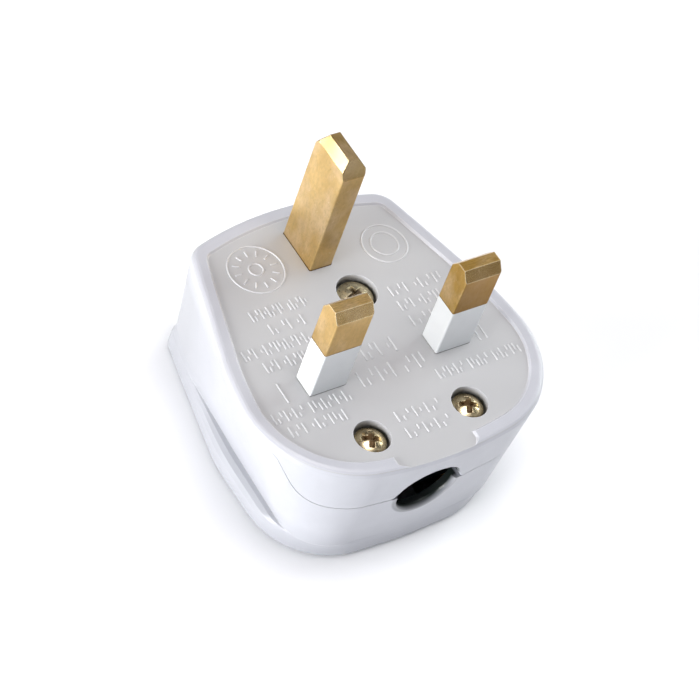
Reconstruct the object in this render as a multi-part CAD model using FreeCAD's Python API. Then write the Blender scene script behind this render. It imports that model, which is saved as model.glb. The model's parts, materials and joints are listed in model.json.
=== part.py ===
import FreeCAD, Part
import math
import os

# A rewireable 13 A three pin plug, in millimetres.
# Everything is drawn about the point midway between the line and neutral pins on the pin face:
# +X to the neutral side, +Y to the earth pin, +Z along the pins.
# At the end it is moved so that the flat back lies on z = 0, under the middle of the body.

# Pins
PIN_SPACING = 22.2        # line pin to neutral pin
EARTH_PIN_Y = 22.2        # earth pin from the line of the other two
PIN_WIDTH = 6.35
PIN_THICK = 3.975
PIN_LENGTH = 17.7
EARTH_WIDTH = 3.975
EARTH_LENGTH_Y = 7.975
EARTH_PROJECTION = 22.7
PIN_EDGE_R = 0.3
TIP_FLAT = 1.66           # width of the flat end of a pin's chamfered tip
TIP_CHAMFER = 1.6         # height of the chamfer at a pin's tip
EARTH_END_FLAT = 5.3
EARTH_END_CHAMFER = 2.75  # height of the chamfer on the earth pin's narrow sides
SLEEVE_WALL = 0.5
SLEEVE_END = 9.2
PIN_CLEARANCE = 0.04

# Body, as half widths and stations of its three outlines
BODY_DEPTH = 23.5
FLANGE_HEIGHT = 4.2       # from the flat back up to the crease at the waist
SHOULDER_Y = 22.0
HIP_Y = 5.2
FACE_CROWN_Y = 32.7
FACE_CORNER_X = 17.5
FACE_CORNER_Y = 27.9
FACE_SHOULDER_X = 19.3
FACE_HIP_X = 24.06
FACE_CORD_X = 26.6
FACE_CORD_Y = -15.3
FACE_END_Y = -19.5
WAIST_CROWN_Y = 31.1
WAIST_CORNER_X = 15.3
WAIST_CORNER_Y = 28.0
WAIST_SHOULDER_X = 17.5
WAIST_HIP_X = 18.3
WAIST_CORD_X = 18.73
WAIST_CORD_Y = -15.56
WAIST_END_Y = -17.1
BACK_CROWN_Y = 31.5
BACK_CORNER_X = 15.9
BACK_CORNER_Y = 28.6
BACK_SHOULDER_X = 17.31
BACK_HIP_X = 20.6
BACK_CORD_X = 20.25
BACK_CORD_Y = -15.95
BACK_END_Y = -16.9
CROWN_R = 54.0
END_R = 64.0
FACE_CORNER_R = 4.2
FACE_SHOULDER_R = 200.0
FACE_HIP_R = 40.0
FACE_CORD_R = 16.0
WAIST_CORNER_R = 1.8
WAIST_SHOULDER_R = 20.0
WAIST_HIP_R = 100.0
WAIST_CORD_R = 7.6
BACK_CORNER_R = 2.3
BACK_SHOULDER_R = 60.0
BACK_HIP_R = 30.0
BACK_CORD_R = 12.6
CORNER_FLARE = 0.35       # how far the waist's corners at the earth end turn out at the crease
NECK_RISE = 1.6           # height above the crease at which they start to turn out
FOOT_SIDE = 0.6           # upright side of the foot, between its bulge and its bottom edge

# Mouldings
WALL = 2.0
BASE_THICK = 3.2
COVER_FLOOR = 2.5
RIM_RISE = 0.35
RIM_WIDTH = 2.2
RIM_SLOPE = 0.3           # how far the rim's inner side leans over its height
RIM_EDGE_R = 1.0
BACK_EDGE_R = 1.4
EDGE_STEPS = 4            # flats that make up a rounded edge of the body
INSIDE_R = 0.5
SPIGOT_CLEARANCE = 0.15
SEAM_SIDE_GAP = 0.04      # along the sides and the earth end, where the cover's edge meets the base
SEAM_GAP = 0.12           # round the cord end
SEAM_DEPTH = 1.7          # below the panel, along the sides and the earth end
SEAM_CORD_DEPTH = 8.7     # below the panel, round the cord end
SEAM_STEP_TOP_Y = -8.3
SEAM_STEP_END_Y = -12.3
SEAM_TOP_R = 1.6
SEAM_BEND_R = 5.0
RIB_THICK = 1.2
RIB_X = 5.6
RIB_START_Y = -6.5
RIB_DEPTH = 8.3
RIB_GAP = 0.3

# Screws
HEAD_THICK = 1.9
HEAD_SIDE = 1.1           # height of the straight side of a head, under its dome
CROSS_ARM = 1.85          # from the middle of a screw's head to the end of its cross
CROSS_TIP = 0.5           # the same at the bottom of the cross
CROSS_WIDTH = 0.9
CROSS_DEPTH = 1.2
HOLE_CLEARANCE = 0.15
THREAD_CLEARANCE = 0.02
COVER_SCREW_X = 2.9
COVER_SCREW_Y = 12.4
COVER_SCREW_R = 1.75
COVER_HEAD_R = 2.8
COVER_HEAD_SINK = 0.35
COVER_CROSS_TURN = 15     # degrees, as the screw came to rest
COVER_SEAT_THICK = 3.65
COVER_BOSS_R = 4.3
HEAD_CLEARANCE = 0.42
WASHER_R = 2.9
WASHER_THICK = 0.8
INSERT_R = 2.6
INSERT_LENGTH = 7.0
SCREW_END_GAP = 1.2

# Cord entry and cord grip
CORD_X = -0.6
ENTRY_X = -0.9
ENTRY_R = 5.5
ENTRY_CORNER_R = 1.3
LIP_R = 4.9               # the cover's half of the entry, at its thin lip
LIP_ROUND = 1.0
LIP_THICK = 1.1
LIP_PROUD = 0.08          # how far the lip's rounding starts outside the wall
NOTCH_LINE_X = (-8.6, -5.1)    # where the rim's gap starts, at the rim's inner and outer edges
NOTCH_NEUTRAL_X = (5.6, 3.9)
NOTCH_CORNER_R = 0.8
GRIP_SCREW_SPACING = 17.2
GRIP_Y = -11.35
GRIP_SCREW_R = 1.5
GRIP_HEAD_R = 2.4
GRIP_HEAD_SINK = 0.4
GRIP_CROSS_TURN = -26
GRIP_POST_R = 3.3
CORD_SPACE = 8.0
BAR_WIDTH = 4.6
BAR_THICK = 2.8
BAR_TOOTH = 0.7
NUT_FLATS = 5.0
NUT_THICK = 2.4
GRIP_SCREW_PROUD = 0.5

# Terminals
TERMINAL_SCREW_R = 1.4
TERMINAL_HEAD_R = 2.2
TERMINAL_HEAD_THICK = 1.6
SLOT_WIDTH = 0.7
SLOT_DEPTH = 0.8
TERMINAL_REACH = 0.5      # how far a terminal screw stands into its wire hole
WIRE_HOLE_R = 1.45
WIRE_HOLE_DEPTH = 4.0
NEUTRAL_BLOCK_X = 8.6
NEUTRAL_BLOCK_Y = 7.0
NEUTRAL_BLOCK_Z = 9.5
EARTH_BLOCK_X = 6.6
EARTH_BLOCK_Y = 8.6
EARTH_BLOCK_Z = 10.5
LINE_BLOCK_X = 4.0
LINE_BLOCK_Y = 7.0
LINE_BLOCK_Z = 8.4
LINE_BLOCK_GAP = 0.4      # from the line terminal to the far fuse clip
BLOCK_CLEARANCE = 0.3     # between the line terminal and the earth terminal's side
EARTH_KEY_LENGTH = 4.0
POST_R = 0.8
POST_OFFSET = 3.3
POST_GAP = 0.15

# Fuse and its clips
FUSE_LENGTH = 25.4
FUSE_R = 3.175
FUSE_START_Y = -4.6
CAP_LENGTH = 5.5
CAP_WALL = 0.2
CAP_END = 0.4
TUBE_WALL = 0.9
ELEMENT_R = 0.15
CLIP_SHEET = 0.6
CLIP_LENGTH = 4.4
CLIP_MOUTH = 4.6
CLIP_FOOT_WIDTH = 7.0
SHOULDER_THICK = 1.8
SHOULDER_WIDTH = 8.6
SHOULDER_REAR = 3.8
RIVET_R = 0.9
RIVET_HEAD_R = 1.3
RIVET_HEAD_THICK = 0.7
RIVET_FROM_FUSE = 1.9
CRADLE_THICK = 1.0
CRADLE_WIDTH = 5.0

# Heights and places that follow from the sizes above
UP = FreeCAD.Vector(0, 0, 1)
REACH = 4 * BODY_DEPTH
LINE_X = -PIN_SPACING / 2
NEUTRAL_X = PIN_SPACING / 2
BASE_UNDER = -BASE_THICK
SIDE_TOP = RIM_RISE - RIM_EDGE_R
WAIST_Z = -BODY_DEPTH + FLANGE_HEIGHT
FOOT_DROP = FLANGE_HEIGHT - FOOT_SIDE - BACK_EDGE_R
FLOOR_TOP = -BODY_DEPTH + COVER_FLOOR
BAR_TOP = BASE_UNDER - CORD_SPACE
BAR_UNDER = BAR_TOP - BAR_THICK
CLIP_TOP = BASE_UNDER - SHOULDER_THICK
FUSE_Z = CLIP_TOP - CLIP_SHEET - FUSE_R
FUSE_MID_Y = FUSE_START_Y + FUSE_LENGTH / 2
CLIP_Y = (FUSE_START_Y + CAP_LENGTH / 2, FUSE_START_Y + FUSE_LENGTH - CAP_LENGTH / 2)
NEAR_RIVET_Y = FUSE_START_Y - RIVET_FROM_FUSE
SHOULDER_FRONT_Y = NEAR_RIVET_Y - RIVET_HEAD_R
STRIP_END_X = -EARTH_BLOCK_X / 2 - PIN_CLEARANCE - RIB_THICK - RIB_GAP
FAR_RIVET_X = STRIP_END_X - RIVET_HEAD_R
LINE_BLOCK_AT_X = -EARTH_BLOCK_X / 2 - BLOCK_CLEARANCE - LINE_BLOCK_X / 2
LINE_BLOCK_AT_Y = CLIP_Y[1] - CLIP_LENGTH / 2 - LINE_BLOCK_GAP - LINE_BLOCK_Y / 2
LINE_RIB_END_Y = LINE_BLOCK_AT_Y - LINE_BLOCK_Y / 2 - RIB_GAP
NEUTRAL_RIB_END_Y = COVER_SCREW_Y - COVER_BOSS_R - RIB_GAP
RIBS = ((-RIB_X, LINE_RIB_END_Y), (RIB_X, NEUTRAL_RIB_END_Y))
COVER_SEAT = -COVER_HEAD_SINK - HEAD_THICK
COVER_JOIN = COVER_SEAT - COVER_SEAT_THICK
INSERT_TOP = COVER_JOIN - WASHER_THICK - POST_GAP
GRIP_SEAT = -GRIP_HEAD_SINK - HEAD_THICK
GRIP_X = (CORD_X - GRIP_SCREW_SPACING / 2, CORD_X + GRIP_SCREW_SPACING / 2)

FACE_HALF = (
    (0, FACE_CROWN_Y, CROWN_R),
    (FACE_CORNER_X, FACE_CORNER_Y, FACE_CORNER_R),
    (FACE_SHOULDER_X, SHOULDER_Y, FACE_SHOULDER_R),
    (FACE_HIP_X, HIP_Y, FACE_HIP_R),
    (FACE_CORD_X, FACE_CORD_Y, FACE_CORD_R),
    (0, FACE_END_Y, END_R),
)
WAIST_HALF = (
    (0, WAIST_CROWN_Y, CROWN_R),
    (WAIST_CORNER_X, WAIST_CORNER_Y, WAIST_CORNER_R),
    (WAIST_SHOULDER_X, SHOULDER_Y, WAIST_SHOULDER_R),
    (WAIST_HIP_X, HIP_Y, WAIST_HIP_R),
    (WAIST_CORD_X, WAIST_CORD_Y, WAIST_CORD_R),
    (0, WAIST_END_Y, END_R),
)
BACK_HALF = (
    (0, BACK_CROWN_Y, CROWN_R),
    (BACK_CORNER_X, BACK_CORNER_Y, BACK_CORNER_R),
    (BACK_SHOULDER_X, SHOULDER_Y, BACK_SHOULDER_R),
    (BACK_HIP_X, HIP_Y, BACK_HIP_R),
    (BACK_CORD_X, BACK_CORD_Y, BACK_CORD_R),
    (0, BACK_END_Y, END_R),
)


def mirrored(half):
    """A closed outline from its half on the +X side, which starts and ends on the middle line."""
    return list(half) + [(-x, y, r) for x, y, r in reversed(half[1:-1])]


def between(first, second, share):
    """The outline a share of the way from one outline to another with as many corners."""
    return [
        tuple(a + (b - a) * share for a, b in zip(corner, other)) for corner, other in zip(first, second)
    ]


def inset(corners, distance):
    """The outline with every side moved inwards and its corner radii made smaller to match."""
    lines = []
    count = len(corners)
    for i, (x, y, _) in enumerate(corners):
        next_x, next_y, _ = corners[(i + 1) % count]
        length = math.hypot(next_x - x, next_y - y)
        along_x, along_y = (next_x - x) / length, (next_y - y) / length
        lines.append((x + along_y * distance, y - along_x * distance, along_x, along_y))
    moved = []
    for i, (_, _, r) in enumerate(corners):
        ax, ay, a_along_x, a_along_y = lines[i - 1]
        bx, by, b_along_x, b_along_y = lines[i]
        turn = a_along_x * b_along_y - a_along_y * b_along_x
        step = ((bx - ax) * b_along_y - (by - ay) * b_along_x) / turn
        moved.append((ax + a_along_x * step, ay + a_along_y * step, max(r - distance, INSIDE_R)))
    return moved


def rounded_wire(corners, place):
    """A closed wire of straight sides and tangent arcs; place turns (x, y) into a point in space."""
    arcs = []
    count = len(corners)
    for i, (x, y, r) in enumerate(corners):
        here = FreeCAD.Vector(x, y, 0)
        before = (FreeCAD.Vector(*corners[i - 1][:2], 0) - here).normalize()
        after = (FreeCAD.Vector(*corners[(i + 1) % count][:2], 0) - here).normalize()
        half_angle = before.getAngle(after) / 2
        tangent = r / math.tan(half_angle)
        bisector = (before + after).normalize()
        middle = here + bisector * (r / math.sin(half_angle) - r)
        arcs.append((here + before * tangent, middle, here + after * tangent))
    edges = []
    for i, (start, middle, end) in enumerate(arcs):
        points = [place(p.x, p.y) for p in (start, middle, end)]
        edges.append(Part.Arc(*points).toShape())
        following = arcs[(i + 1) % count][0]
        edges.append(Part.makeLine(points[2], place(following.x, following.y)))
    return Part.Wire(edges)


def level(z):
    """Places an outline flat at height z."""
    return lambda x, y: FreeCAD.Vector(x, y, z)


def loft(*sections):
    """A solid with straight walls from each (outline, height) to the next."""
    wires = [rounded_wire(corners, level(z)) for corners, z in sections]
    return Part.makeLoft(wires, True, True)


def prism(corners, bottom, top):
    """An outline made into a straight solid between two heights."""
    face = Part.Face(rounded_wire(corners, level(bottom)))
    return face.extrude(UP * (top - bottom))


def rectangle(width, length, r=PIN_EDGE_R, x=0, y=0):
    """The corners of a rounded rectangle about (x, y), in the order that an inset expects."""
    half_x, half_y = width / 2, length / 2
    return [
        (x - half_x, y + half_y, r),
        (x + half_x, y + half_y, r),
        (x + half_x, y - half_y, r),
        (x - half_x, y - half_y, r),
    ]


def block(x0, x1, y0, y1, z0, z1):
    """A plain box between two corners."""
    return Part.makeBox(x1 - x0, y1 - y0, z1 - z0, FreeCAD.Vector(x0, y0, z0))


def rod(x, y, r, bottom, top):
    """An upright cylinder."""
    return Part.makeCylinder(r, top - bottom, FreeCAD.Vector(x, y, bottom))


def rod_along_y(x, z, r, y0, y1):
    """A cylinder that lies along Y."""
    return Part.makeCylinder(r, y1 - y0, FreeCAD.Vector(x, y0, z), FreeCAD.Vector(0, 1, 0))


def extruded_along_x(points, x0, x1):
    """A profile of (y, z) points made into a solid from x0 to x1."""
    outline = [FreeCAD.Vector(x0, y, z) for y, z in points]
    face = Part.Face(Part.makePolygon(outline + outline[:1]))
    return face.extrude(FreeCAD.Vector(x1 - x0, 0, 0))


def extruded_along_y(points, y0, y1):
    """A profile of (x, z) points made into a solid from y0 to y1."""
    outline = [FreeCAD.Vector(x, y0, z) for x, z in points]
    face = Part.Face(Part.makePolygon(outline + outline[:1]))
    return face.extrude(FreeCAD.Vector(0, y1 - y0, 0))


def edges_at(shape, z):
    """The edges of a shape that lie flat at height z."""
    near = RIM_RISE / 100
    return [e for e in shape.Edges if abs(e.BoundBox.ZMin - z) < near and abs(e.BoundBox.ZMax - z) < near]


# Body

def quarter_turn():
    """The angles of a rounded edge's sections, from its start to its end."""
    return [math.radians(90 * k / EDGE_STEPS) for k in range(EDGE_STEPS + 1)]


def rounded_edge(corners, end, r):
    """Sections that round an outline's edge over, from the full outline to the flat end."""
    inwards = abs(r)
    return [
        (inset(corners, inwards * (1 - math.cos(t))), end + r * (1 - math.sin(t))) for t in quarter_turn()
    ]


def foot_bulge(waist, back):
    """Sections that swell from the crease at the waist to the full foot, a quarter of an ellipse."""
    return [
        (between(waist, back, math.sin(t)), WAIST_Z - FOOT_DROP * (1 - math.cos(t)))
        for t in quarter_turn()
    ]


def creased_waist():
    """The waist at the crease, where its two corners at the earth end turn out."""
    half = list(WAIST_HALF)
    x, y, r = half[1]
    half[1] = (x + CORNER_FLARE, y + CORNER_FLARE, r)
    return mirrored(half)


def body_solid():
    """The closed outer form: a tapered face part, a waist at the finger grips and a swelling foot."""
    face, waist, back = mirrored(FACE_HALF), mirrored(WAIST_HALF), mirrored(BACK_HALF)
    rim = rounded_edge(face, RIM_RISE, -RIM_EDGE_R)
    neck_z = WAIST_Z + NECK_RISE
    neck = between(face, waist, (SIDE_TOP - neck_z) / (SIDE_TOP - WAIST_Z))
    heel = rounded_edge(back, -BODY_DEPTH, BACK_EDGE_R)
    return loft(*reversed(rim), (neck, neck_z), *foot_bulge(creased_waist(), back), *heel)


def cavity(wall):
    """The hollow inside the body, a wall's thickness in from its outside."""
    face, waist = inset(mirrored(FACE_HALF), wall), inset(mirrored(WAIST_HALF), wall)
    return loft((face, RIM_RISE), (waist, WAIST_Z), (waist, FLOOR_TOP))


def base_region(side_gap, gap):
    """The space on the pin side of the seam, which steps down round the cord end."""
    seam, cord_seam = -SEAM_DEPTH - side_gap, -SEAM_CORD_DEPTH - gap
    corners = [
        (-REACH, REACH, INSIDE_R),
        (REACH, REACH, INSIDE_R),
        (REACH, seam, INSIDE_R),
        (SEAM_STEP_TOP_Y + gap, seam, SEAM_TOP_R),
        (SEAM_STEP_END_Y + gap, cord_seam, SEAM_BEND_R),
        (-REACH, cord_seam, INSIDE_R),
    ]
    wire = rounded_wire(corners, lambda y, z: FreeCAD.Vector(-REACH, y, z))
    return Part.Face(wire).extrude(FreeCAD.Vector(2 * REACH, 0, 0))


def pin_places():
    """Each pin's middle and section: (x, y, width, thickness)."""
    return (
        (LINE_X, 0, PIN_WIDTH, PIN_THICK),
        (NEUTRAL_X, 0, PIN_WIDTH, PIN_THICK),
        (0, EARTH_PIN_Y, EARTH_WIDTH, EARTH_LENGTH_Y),
    )


def panel_recess():
    """The shallow panel inside the rim, whose inner side leans, open at the cord end."""
    face = mirrored(FACE_HALF)
    panel = loft((inset(face, RIM_WIDTH + RIM_SLOPE), 0), (inset(face, RIM_WIDTH - RIM_SLOPE), 2 * RIM_RISE))
    inner_y, outer_y = FACE_END_Y + RIM_WIDTH, FACE_END_Y
    (line_inner, line_outer), (neutral_inner, neutral_outer) = NOTCH_LINE_X, NOTCH_NEUTRAL_X
    notch = [
        (line_inner, inner_y + RIM_WIDTH, INSIDE_R),
        (neutral_inner, inner_y + RIM_WIDTH, INSIDE_R),
        (neutral_inner, inner_y, NOTCH_CORNER_R),
        (neutral_outer, outer_y, NOTCH_CORNER_R),
        (neutral_outer, outer_y - RIM_WIDTH, INSIDE_R),
        (line_outer, outer_y - RIM_WIDTH, INSIDE_R),
        (line_outer, outer_y, NOTCH_CORNER_R),
        (line_inner, inner_y, NOTCH_CORNER_R),
    ]
    return panel.fuse(loft((inset(notch, RIM_SLOPE), 0), (inset(notch, -RIM_SLOPE), 2 * RIM_RISE)))


def entry_hole():
    """The base's half of the round hole that the cord comes in by."""
    return rod_along_y(ENTRY_X, -SEAM_CORD_DEPTH, ENTRY_R, FACE_END_Y - WALL, GRIP_Y - GRIP_POST_R)


def entry_corners():
    """What rounds the apron's two corners where the entry meets the seam."""
    outside, inside = FACE_END_Y - WALL, GRIP_Y - GRIP_POST_R
    centre_z = -SEAM_CORD_DEPTH + ENTRY_CORNER_R
    pieces = []
    for side in (-1, 1):
        corner_x = ENTRY_X + side * ENTRY_R
        centre_x = corner_x + side * ENTRY_CORNER_R
        x0, x1 = sorted((corner_x - side * ENTRY_CORNER_R, centre_x))
        corner = block(x0, x1, outside, inside, -SEAM_CORD_DEPTH - SEAM_GAP, centre_z)
        pieces.append(corner.cut(rod_along_y(centre_x, centre_z, ENTRY_CORNER_R, outside, inside)))
    return pieces


def cord_end_y(half):
    """Where an outline's rounded cord end crosses the middle line."""
    (x, y, _), (_, end_y, r) = half[-2:]
    return end_y + r * (math.hypot(x, y - end_y) / x - 1)


def entry_mouth():
    """What opens the cover's half of the entry: a thin rounded lip, with more room behind it."""
    lip_outer, inside = LIP_R + LIP_ROUND, 2 * WALL
    middle_r = lip_outer - LIP_ROUND * math.cos(math.radians(45))
    middle_y = LIP_ROUND - LIP_ROUND * math.sin(math.radians(45))
    line = [(LIP_R, LIP_ROUND), (LIP_R, LIP_THICK), (ENTRY_R, LIP_THICK), (ENTRY_R, inside)]
    line += [(0, inside), (0, -inside), (lip_outer, -inside), (lip_outer, 0)]
    points = [FreeCAD.Vector(r, y, 0) for r, y in line]
    edges = [Part.makeLine(a, b) for a, b in zip(points, points[1:])]
    edges.append(Part.Arc(points[-1], FreeCAD.Vector(middle_r, middle_y, 0), points[0]).toShape())
    mouth = Part.Face(Part.Wire(edges)).revolve(FreeCAD.Vector(), FreeCAD.Vector(0, 1, 0), 360)
    face_y, waist_y = cord_end_y(FACE_HALF), cord_end_y(WAIST_HALF)
    slope = (waist_y - face_y) / (SIDE_TOP - WAIST_Z)
    mouth.rotate(FreeCAD.Vector(), FreeCAD.Vector(1, 0, 0), math.degrees(math.atan(slope)))
    wall_y = face_y + slope * (SIDE_TOP + SEAM_CORD_DEPTH)
    mouth.translate(FreeCAD.Vector(ENTRY_X, wall_y - LIP_PROUD, -SEAM_CORD_DEPTH))
    return mouth


def rib(x, y0, y1, bottom, top):
    """An upright wall that runs along Y."""
    return block(x - RIB_THICK / 2, x + RIB_THICK / 2, y0, y1, bottom, top)


def base():
    """The pin carrier: the faced plate, its apron round the cord end, bosses, posts and ribs."""
    shell = body_solid().common(base_region(0, 0))
    hollow = cavity(WALL).common(block(-REACH, REACH, -REACH, REACH, -REACH, BASE_UNDER))
    plate = cavity(WALL + SPIGOT_CLEARANCE).common(
        block(-REACH, REACH, -REACH, REACH, BASE_UNDER, -SEAM_DEPTH / 2)
    )
    added = [plate, rod(COVER_SCREW_X, COVER_SCREW_Y, COVER_BOSS_R, COVER_JOIN, BASE_UNDER / 2)]
    added += [rod(x, GRIP_Y, GRIP_POST_R, BAR_TOP, BASE_UNDER / 2) for x in GRIP_X]
    rib_bottom = BASE_UNDER - RIB_DEPTH
    added += [rib(x, RIB_START_Y, end_y, rib_bottom, BASE_UNDER / 2) for x, end_y in RIBS]
    added += [earth_key(side) for side in (-1, 1)]
    added.append(terminal_pad())
    solid = shell.cut(hollow).multiFuse(added)
    return solid.cut(panel_recess()).cut(base_holes()).removeSplitter()


def base_holes():
    """Every slot and hole through the base, as one shape."""
    cuts = []
    for x, y, width, thick in pin_places():
        slot = rectangle(width + 2 * PIN_CLEARANCE, thick + 2 * PIN_CLEARANCE, x=x, y=y)
        cuts.append(prism(slot, 2 * BASE_UNDER, REACH))
    cuts.append(rod(COVER_SCREW_X, COVER_SCREW_Y, COVER_HEAD_R + HEAD_CLEARANCE, COVER_SEAT, REACH))
    cuts.append(rod(COVER_SCREW_X, COVER_SCREW_Y, COVER_SCREW_R + HOLE_CLEARANCE, -REACH, REACH))
    for x in GRIP_X:
        cuts.append(rod(x, GRIP_Y, GRIP_HEAD_R + HEAD_CLEARANCE, GRIP_SEAT, REACH))
        cuts.append(rod(x, GRIP_Y, GRIP_SCREW_R + HOLE_CLEARANCE, -REACH, REACH))
    cuts.append(rod(FAR_RIVET_X, CLIP_Y[1], RIVET_R, CLIP_TOP - CLIP_SHEET, BASE_UNDER / 2))
    cuts.append(entry_hole())
    return cuts[0].multiFuse(cuts[1:] + entry_corners())


def earth_key(side):
    """A short wall beside the earth terminal that stops it turning."""
    x = side * (EARTH_BLOCK_X / 2 + PIN_CLEARANCE + RIB_THICK / 2)
    end = EARTH_PIN_Y + EARTH_BLOCK_Y / 2
    return rib(x, end - EARTH_KEY_LENGTH, end, BASE_UNDER - EARTH_BLOCK_Z / 2, BASE_UNDER / 2)


def terminal_pad():
    """The pad that lifts the far fuse clip to the level of the line pin's shoulder."""
    half = CLIP_LENGTH / 2
    x0 = LINE_X - CLIP_FOOT_WIDTH / 2
    return block(x0, STRIP_END_X, CLIP_Y[1] - half, CLIP_Y[1] + half, CLIP_TOP, BASE_UNDER / 2)


def cover():
    """The back shell, with its screw boss, partition ribs, hold-down posts and fuse cradles."""
    everything = block(-REACH, REACH, -REACH, REACH, -REACH, REACH)
    below_seam = everything.cut(base_region(SEAM_SIDE_GAP, SEAM_GAP))
    shell = body_solid().common(below_seam).cut(cavity(WALL))
    under_floor = FLOOR_TOP - COVER_FLOOR / 2
    added = [rod(COVER_SCREW_X, COVER_SCREW_Y, COVER_BOSS_R, under_floor, COVER_JOIN)]
    rib_top = BASE_UNDER - RIB_DEPTH - RIB_GAP
    added += [rib(x, RIB_START_Y, end_y, under_floor, rib_top) for x, end_y in RIBS]
    neutral_top = BASE_UNDER - NEUTRAL_BLOCK_Z - POST_GAP
    earth_top = BASE_UNDER - EARTH_BLOCK_Z - POST_GAP
    for side in (-1, 1):
        added.append(rod(NEUTRAL_X + side * POST_OFFSET, 0, POST_R, under_floor, neutral_top))
        added.append(rod(0, EARTH_PIN_Y + side * POST_OFFSET, POST_R, under_floor, earth_top))
        added.append(fuse_cradle(FUSE_MID_Y + side * CAP_LENGTH / 2, under_floor))
    solid = shell.multiFuse(added)
    cuts = [rod(COVER_SCREW_X, COVER_SCREW_Y, WASHER_R + HOLE_CLEARANCE, INSERT_TOP, REACH)]
    insert_end = INSERT_TOP - INSERT_LENGTH
    cuts.append(rod(COVER_SCREW_X, COVER_SCREW_Y, INSERT_R, insert_end, REACH))
    cuts.append(rod(COVER_SCREW_X, COVER_SCREW_Y, COVER_SCREW_R + HOLE_CLEARANCE, insert_end - WALL, REACH))
    cuts.append(entry_mouth())
    return solid.cut(cuts[0].multiFuse(cuts[1:])).removeSplitter()


def fuse_cradle(y, bottom):
    """A rib under the middle of the fuse."""
    half = CRADLE_THICK / 2
    x0, x1 = LINE_X - CRADLE_WIDTH / 2, LINE_X + CRADLE_WIDTH / 2
    return block(x0, x1, y - half, y + half, bottom, FUSE_Z - FUSE_R - POST_GAP)


# Pins and their terminals

def sleeved_blade(x):
    """A line or neutral pin above the base: a neck inside its sleeve and a chamfered tip."""
    neck = prism(inset(rectangle(PIN_WIDTH, PIN_THICK, x=x), SLEEVE_WALL), BASE_UNDER, SLEEVE_END)
    half = PIN_THICK / 2
    profile = [
        (-half, SLEEVE_END),
        (-half, PIN_LENGTH - TIP_CHAMFER),
        (-TIP_FLAT / 2, PIN_LENGTH),
        (TIP_FLAT / 2, PIN_LENGTH),
        (half, PIN_LENGTH - TIP_CHAMFER),
        (half, SLEEVE_END),
    ]
    tip = prism(rectangle(PIN_WIDTH, PIN_THICK, x=x), SLEEVE_END, PIN_LENGTH)
    chamfered = extruded_along_x(profile, x - PIN_WIDTH, x + PIN_WIDTH)
    return neck.fuse(tip.common(chamfered))


def pin_sleeve(x):
    """The insulating sleeve, flush with the pin and let into the base."""
    outside = rectangle(PIN_WIDTH, PIN_THICK, x=x)
    return prism(outside, BASE_UNDER, SLEEVE_END).cut(
        prism(inset(outside, SLEEVE_WALL), BASE_UNDER, SLEEVE_END)
    )


def earth_blade():
    """The longer earth pin above the base, chamfered on all four sides of its tip."""
    blade = prism(rectangle(EARTH_WIDTH, EARTH_LENGTH_Y, y=EARTH_PIN_Y), BASE_UNDER, EARTH_PROJECTION)
    half_x, half_y = EARTH_WIDTH / 2, EARTH_LENGTH_Y / 2
    across = [
        (-half_x, BASE_UNDER),
        (-half_x, EARTH_PROJECTION - TIP_CHAMFER),
        (-TIP_FLAT / 2, EARTH_PROJECTION),
        (TIP_FLAT / 2, EARTH_PROJECTION),
        (half_x, EARTH_PROJECTION - TIP_CHAMFER),
        (half_x, BASE_UNDER),
    ]
    along = [
        (EARTH_PIN_Y - half_y, BASE_UNDER),
        (EARTH_PIN_Y - half_y, EARTH_PROJECTION - EARTH_END_CHAMFER),
        (EARTH_PIN_Y - EARTH_END_FLAT / 2, EARTH_PROJECTION),
        (EARTH_PIN_Y + EARTH_END_FLAT / 2, EARTH_PROJECTION),
        (EARTH_PIN_Y + half_y, EARTH_PROJECTION - EARTH_END_CHAMFER),
        (EARTH_PIN_Y + half_y, BASE_UNDER),
    ]
    blade = blade.common(extruded_along_y(across, 0, 2 * EARTH_PIN_Y))
    return blade.common(extruded_along_x(along, -EARTH_LENGTH_Y, EARTH_LENGTH_Y))


def terminal_block(x, y, width, length, height, top):
    """A brass block with a wire hole along Y and a threaded hole for its clamping screw."""
    body = prism(rectangle(width, length, x=x, y=y), top - height, top)
    wire_z = top - WIRE_HOLE_DEPTH
    wire_hole = rod_along_y(x, wire_z, WIRE_HOLE_R, y - length, y + length)
    thread = rod(x, y, TERMINAL_SCREW_R + THREAD_CLEARANCE, top - height, wire_z)
    return body.cut(wire_hole).cut(thread)


def terminal_screw(x, y, height, top):
    """A slotted cheese head screw, driven from the back into a terminal block."""
    under = top - height
    end = top - WIRE_HOLE_DEPTH - WIRE_HOLE_R + TERMINAL_REACH
    screw = rod(x, y, TERMINAL_SCREW_R, under, end)
    head_end = under - TERMINAL_HEAD_THICK
    screw = screw.fuse(rod(x, y, TERMINAL_HEAD_R, head_end, under))
    half_slot = SLOT_WIDTH / 2
    slot = block(x - half_slot, x + half_slot, y - REACH, y + REACH, head_end, head_end + SLOT_DEPTH)
    return screw.cut(slot)


def neutral_pin():
    """The neutral pin with its terminal block behind the base."""
    return sleeved_blade(NEUTRAL_X).fuse(
        terminal_block(NEUTRAL_X, 0, NEUTRAL_BLOCK_X, NEUTRAL_BLOCK_Y, NEUTRAL_BLOCK_Z, BASE_UNDER)
    ).removeSplitter()


def earth_pin():
    """The earth pin with its terminal block behind the base."""
    return earth_blade().fuse(
        terminal_block(0, EARTH_PIN_Y, EARTH_BLOCK_X, EARTH_BLOCK_Y, EARTH_BLOCK_Z, BASE_UNDER)
    ).removeSplitter()


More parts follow.
